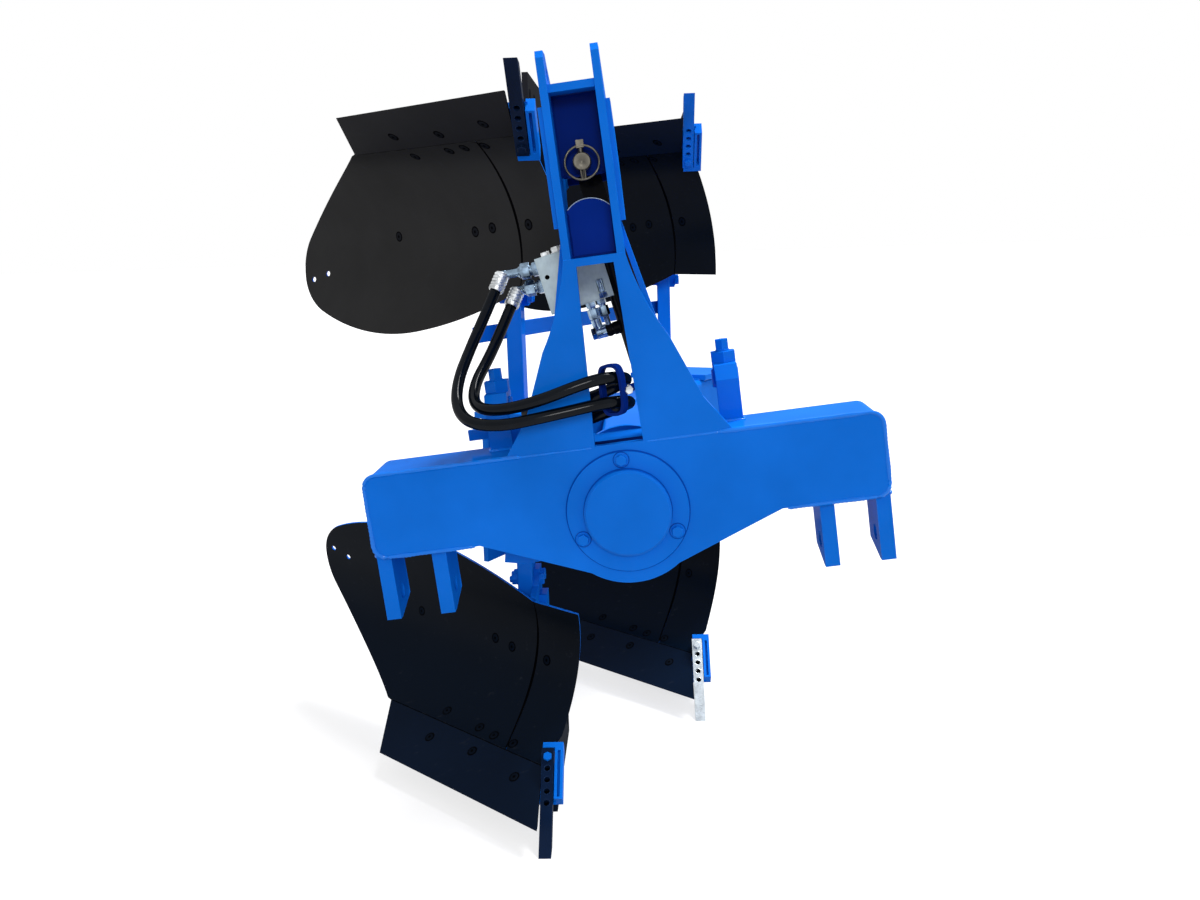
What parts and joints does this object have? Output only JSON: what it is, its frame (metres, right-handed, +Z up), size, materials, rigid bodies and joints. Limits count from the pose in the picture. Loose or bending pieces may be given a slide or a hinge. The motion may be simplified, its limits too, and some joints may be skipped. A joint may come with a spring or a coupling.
{
  "type": "moldboard plough",
  "caption": "Fully mounted reversible mouldboard plough with upper and lower plough bodies on legs, a turnover cylinder with hoses, and a three-point headstock.",
  "frame": {"origin": "bottom centre of the whole plough as it stands parked on a floor", "axes": "+X forward in the direction of travel, towards the tractor; +Y to the driver's left; +Z up"},
  "size_m": [2.0072, 1.3238, 1.56],
  "materials": {
    "blue_paint": "glossy blue paint",
    "dark_blue": "deep blue paint",
    "wearing_steel": "satin black paint",
    "bar_point": "dark blue paint",
    "barrel": "gloss black paint",
    "rod": "hard chrome",
    "pin_steel": "zinc plated steel",
    "valve": "machined aluminium",
    "fitting": "plated steel",
    "hose": "glossy black rubber"
  },
  "bodies": {
    "headstock": {"headstock_front_plate": "blue_paint", "crossbeam_shell": "blue_paint", "crossbeam_back_plate": "blue_paint", "bearing_tube": "blue_paint", "bearing_cover": "blue_paint", "tower_ear_right": "blue_paint", "tower_ear_left": "blue_paint", "tower_straps": "blue_paint", "tower_cross_plates": "dark_blue", "tower_stays": "blue_paint", "lower_link_lugs": "blue_paint", "stop_brackets": "blue_paint", "stop_bolts": "pin_steel", "cylinder_pin": "pin_steel", "hose_upper": "hose", "hose_lower": "hose", "hose_couplers": "fitting", "hose_ring": "dark_blue", "coupler_rack": "blue_paint"},
    "cylinder_barrel": {"cylinder_barrel": "barrel", "valve_block": "valve", "valve_fittings": "fitting"},
    "cylinder_rod": {"cylinder_rod": "rod", "crank_pin_middle": "pin_steel"},
    "frame": {"bar_point_front_lower": "bar_point", "bar_point_front_upper": "bar_point", "bar_point_rear_lower": "bar_point", "bar_point_rear_upper": "bar_point", "crank_bridge": "blue_paint", "crank_cheek_front": "blue_paint", "crank_cheek_rear": "blue_paint", "crank_pin_ends": "pin_steel", "frog_front_lower": "blue_paint", "frog_front_upper": "blue_paint", "frog_rear_lower": "blue_paint", "frog_rear_upper": "blue_paint", "front_brace": "blue_paint", "hub_beam": "blue_paint", "landside_front_lower": "wearing_steel", "landside_front_upper": "wearing_steel", "landside_rear_lower": "wearing_steel", "landside_rear_upper": "wearing_steel", "leg_clamps": "blue_paint", "leg_front": "blue_paint", "leg_rear": "blue_paint", "leg_ties": "blue_paint", "main_beam": "blue_paint", "mouldboard_front_lower": "wearing_steel", "mouldboard_front_upper": "wearing_steel", "mouldboard_rear_lower": "wearing_steel", "mouldboard_rear_upper": "wearing_steel", "share_front_lower": "wearing_steel", "share_front_upper": "wearing_steel", "share_rear_lower": "wearing_steel", "share_rear_upper": "wearing_steel", "shin_front_lower": "wearing_steel", "shin_front_upper": "wearing_steel", "shin_rear_lower": "wearing_steel", "shin_rear_upper": "wearing_steel", "turnover_shaft": "pin_steel"}
  },
  "joints": [
    {"name": "turnover", "type": "hinge", "parent": "headstock", "child": "frame", "pos_m": [0, 0.20476, 0.78], "axis": [1, 0, 0], "range_deg": [0, 191.8]},
    {"name": "cylinder_swing", "type": "hinge", "parent": "headstock", "child": "cylinder_barrel", "pos_m": [0.74729, 0.14463, 1.3619], "axis": [1, 0, 0], "range_deg": [-19.89, 0], "deforming": ["hose_upper", "hose_lower"]},
    {"name": "rod_slide", "type": "slide", "parent": "cylinder_barrel", "child": "cylinder_rod", "axis": [0, 0.273, -0.962], "range_m": [-0.12488, 0]}
  ],
  "couplings": [
    {"joint": "cylinder_swing", "follows": "turnover", "ratio": -0.10368}
  ]
}
